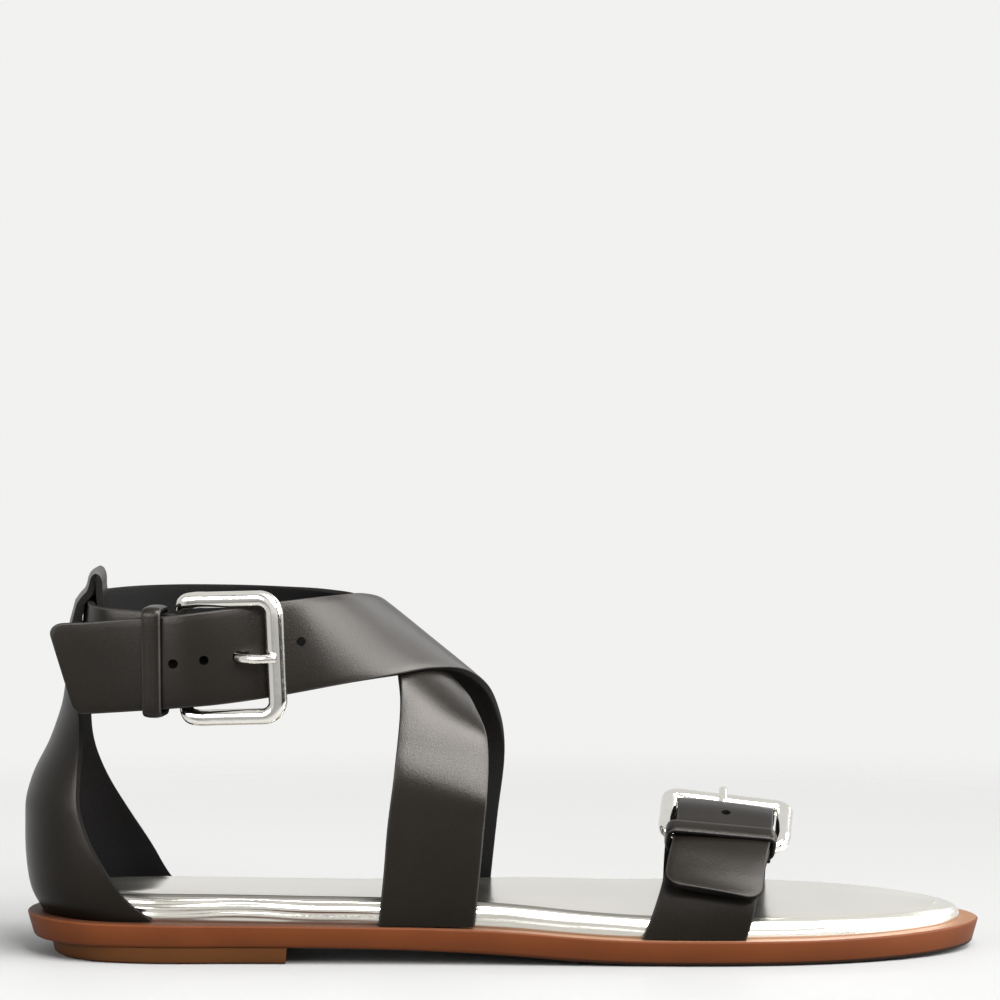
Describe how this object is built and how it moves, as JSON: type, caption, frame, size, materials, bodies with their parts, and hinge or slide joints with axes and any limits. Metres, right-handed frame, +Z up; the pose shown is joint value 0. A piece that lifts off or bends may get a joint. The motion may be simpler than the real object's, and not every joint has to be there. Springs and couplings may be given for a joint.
{
  "type": "cross-strap sandal",
  "caption": "Flat open sandal with straps crossing on the instep and round the ankle, a buckled toe strap, an open heel piece and a padded silver insole on a low sole.",
  "frame": {"origin": "on the floor, under the middle of the sandal's bounding box", "axes": "+X from heel to toe, +Y from the outer to the inner side of the foot, +Z up"},
  "size_m": [0.2572, 0.0968, 0.1026],
  "materials": {
    "black_leather": "smooth black semi-gloss leather with painted edges",
    "tan_sole": "satin tan-brown sole, lighter along its upper edge",
    "silver_leather": "glossy mirror-like silver leather over soft padding",
    "polished_nickel": "polished warm nickel"
  },
  "bodies": {
    "root": {"outsole": "tan_sole", "heel": "tan_sole", "insole": "silver_leather", "heel_counter": "black_leather", "cross_straps": "black_leather", "ankle_keeper": "black_leather", "ankle_buckle_frame": "polished_nickel", "ankle_buckle_prong": "polished_nickel", "toe_strap_lateral": "black_leather", "toe_strap_medial": "black_leather", "toe_keeper": "black_leather", "toe_buckle_frame": "polished_nickel", "toe_buckle_prong": "polished_nickel"}
  },
  "joints": []
}
